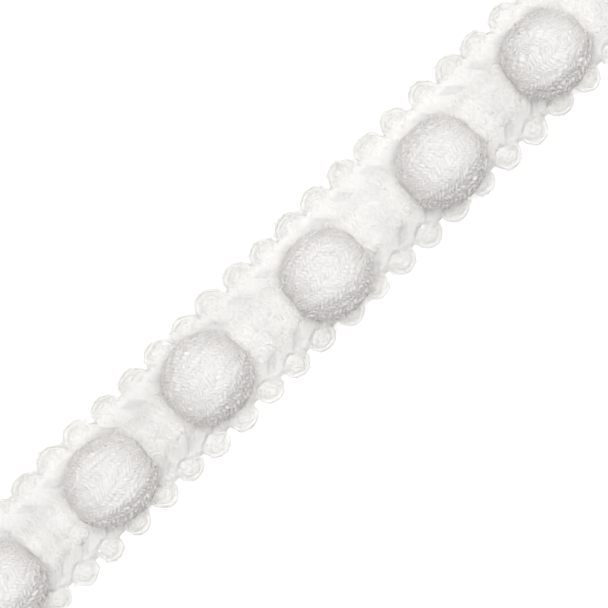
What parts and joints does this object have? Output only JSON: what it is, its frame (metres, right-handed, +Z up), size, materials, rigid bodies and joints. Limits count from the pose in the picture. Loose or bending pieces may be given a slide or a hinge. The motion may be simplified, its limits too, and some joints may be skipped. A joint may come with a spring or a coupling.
{
  "type": "beaded braid trim",
  "caption": "Flat narrow white crochet braid with rounded picots along both edges and knit-covered balls sewn along its centre.",
  "frame": {"origin": "middle of the trim's flat back, on the surface that it rests on", "axes": "+X along the trim, +Y across it towards one picot edge, +Z up out of the face that carries the balls"},
  "size_m": [0.2022, 0.0257, 0.0164],
  "materials": {
    "braid_yarn": "soft white cotton crochet yarn, matte",
    "ball_cover": "fine white cotton knit over a round mould, matte"
  },
  "bodies": {
    "root": {"braid": "braid_yarn", "ball_1": "ball_cover", "ball_2": "ball_cover", "ball_3": "ball_cover", "ball_4": "ball_cover", "ball_5": "ball_cover", "ball_6": "ball_cover", "ball_7": "ball_cover"}
  },
  "joints": []
}
